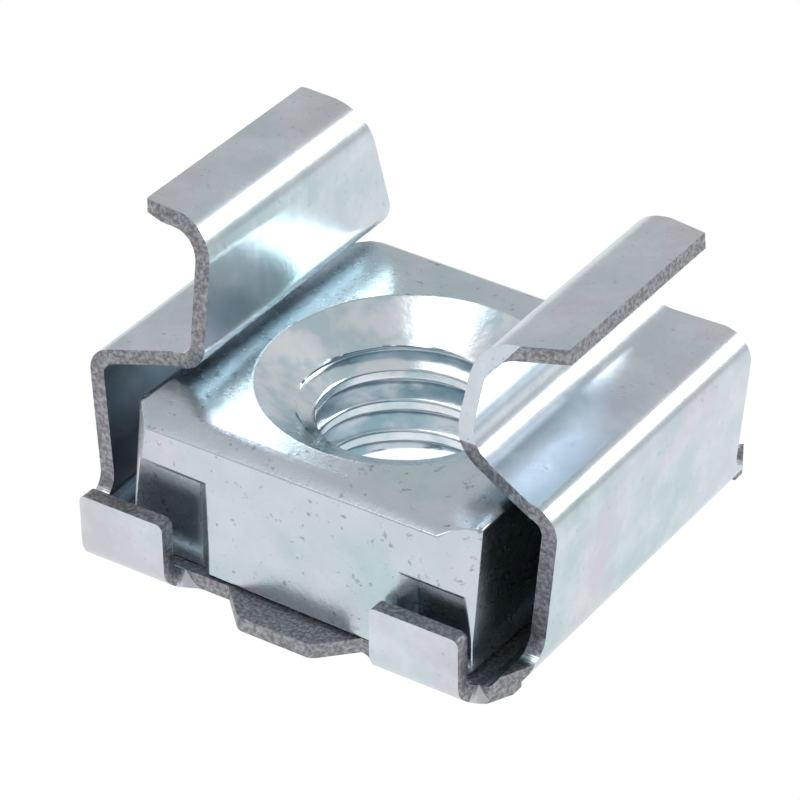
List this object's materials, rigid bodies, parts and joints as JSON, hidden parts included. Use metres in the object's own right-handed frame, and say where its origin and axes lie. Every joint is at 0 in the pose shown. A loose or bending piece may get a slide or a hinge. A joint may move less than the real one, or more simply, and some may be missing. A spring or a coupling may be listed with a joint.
{
  "type": "rack cage nut",
  "caption": "Square threaded nut that floats in a folded spring-steel cage, whose two hooked wings snap into a square hole in a rack rail.",
  "frame": {"origin": "middle of the cage's base, on its underside, on the axis of the base's clearance hole", "axes": "+Z out of the cage towards the panel, along the screw; +X from one wing to the other; Y along the open ends, where the tabs stand"},
  "size_m": [0.0146, 0.0148, 0.0094],
  "materials": {
    "cage_steel": "bright blue-white zinc plate on sheet steel",
    "nut_steel": "blue-white zinc plate on a sheared steel nut"
  },
  "bodies": {
    "root": {"cage": "cage_steel", "square_nut": "nut_steel"}
  },
  "joints": []
}
